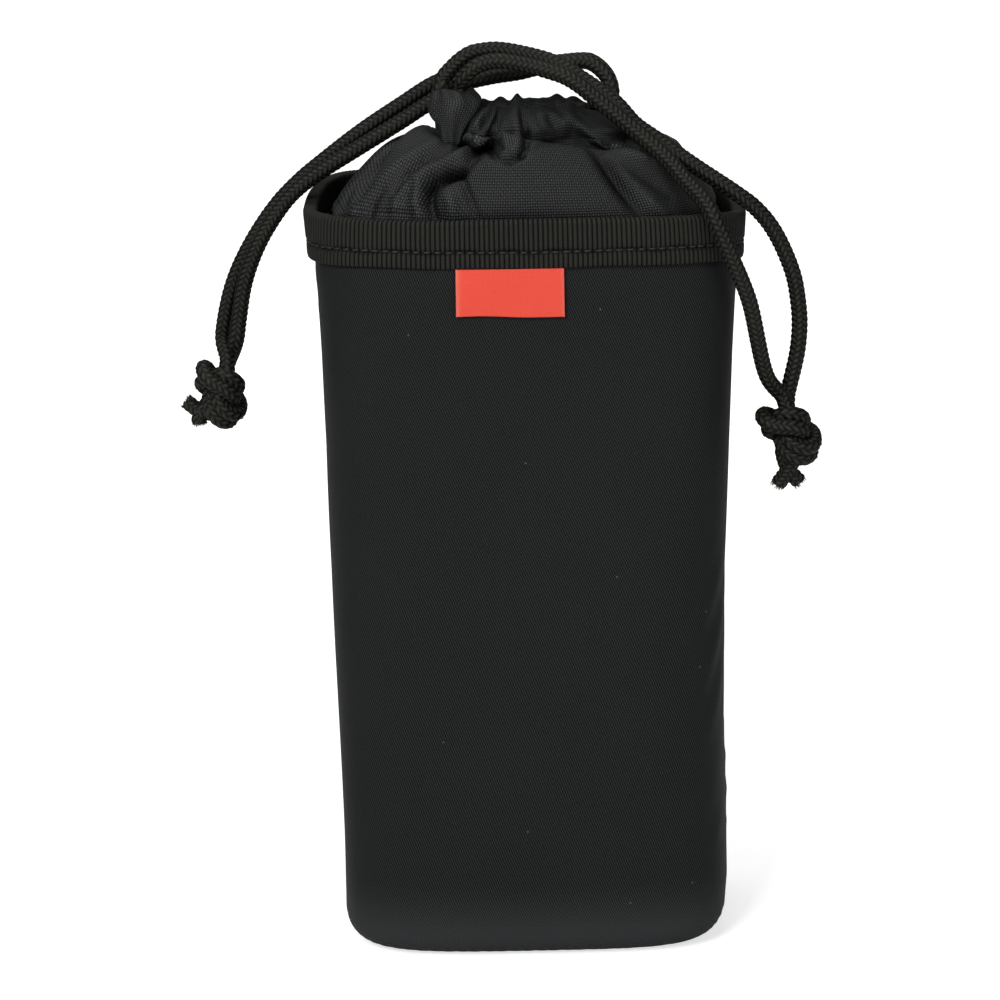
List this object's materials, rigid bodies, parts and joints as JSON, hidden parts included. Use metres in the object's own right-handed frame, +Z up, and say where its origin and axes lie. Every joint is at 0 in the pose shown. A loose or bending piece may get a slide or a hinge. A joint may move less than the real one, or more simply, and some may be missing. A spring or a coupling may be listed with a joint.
{
  "type": "flash pouch",
  "caption": "Tall padded fabric pouch for a camera flash, with a bound rim, a bare woven label and a gathered hood closed by knotted braided drawcords.",
  "frame": {"origin": "centre of the base's underside", "axes": "+Z up out of the mouth, +X to the right seen from the front, -Y out of the front that carries the label"},
  "size_m": [0.1567, 0.071, 0.2283],
  "materials": {
    "twill": "fine diagonal twill, matte",
    "padding": "foam sheet",
    "lining": "smooth woven lining",
    "tape": "ribbed grosgrain",
    "label": "woven satin, bare",
    "hood_cloth": "plain-weave nylon",
    "cord": "braided"
  },
  "bodies": {
    "pouch": {"front_panel": "twill", "back_panel": "twill", "wall_padding": "padding", "lining_sleeve": "lining", "base_panel": "twill", "base_board": "padding", "base_lining": "lining", "rim_binding": "tape"},
    "label": {"label_tab": "label"},
    "mouth": {"hood_front_panel": "hood_cloth", "hood_back_panel": "hood_cloth", "casing_front": "hood_cloth", "casing_back": "hood_cloth", "left_outlet": "hood_cloth", "right_outlet": "hood_cloth", "left_cord_loop": "cord", "right_cord_loop": "cord"},
    "left_cord": {"left_strand_front": "cord", "left_strand_back": "cord", "left_knot": "cord", "left_tail_side": "cord", "left_tail_down": "cord"},
    "right_cord": {"right_strand_inner": "cord", "right_strand_outer": "cord", "right_knot": "cord", "right_tail_left": "cord", "right_tail_right": "cord"}
  },
  "joints": [
    {"name": "mouth_lift", "type": "slide", "parent": "pouch", "child": "mouth", "axis": [0, 0, 1], "range_m": [0, 0.012], "deforming": ["hood_front_panel", "hood_back_panel"]},
    {"name": "label_flip", "type": "hinge", "parent": "pouch", "child": "label", "pos_m": [-0.004, -0.03515, 0.1782], "axis": [-1, 0, 0], "range_deg": [0, 90], "stiffness_Nm_per_rad": 0.0004},
    {"name": "left_cord_lift", "type": "hinge", "parent": "mouth", "child": "left_cord", "pos_m": [0.022, 0.00365, 0.2159], "axis": [0, 1, 0], "range_deg": [0, 60], "deforming": ["left_cord_loop"]},
    {"name": "right_cord_lift", "type": "hinge", "parent": "mouth", "child": "right_cord", "pos_m": [-0.02, -0.00195, 0.2177], "axis": [0, -1, 0], "range_deg": [0, 60], "deforming": ["right_cord_loop"]}
  ]
}
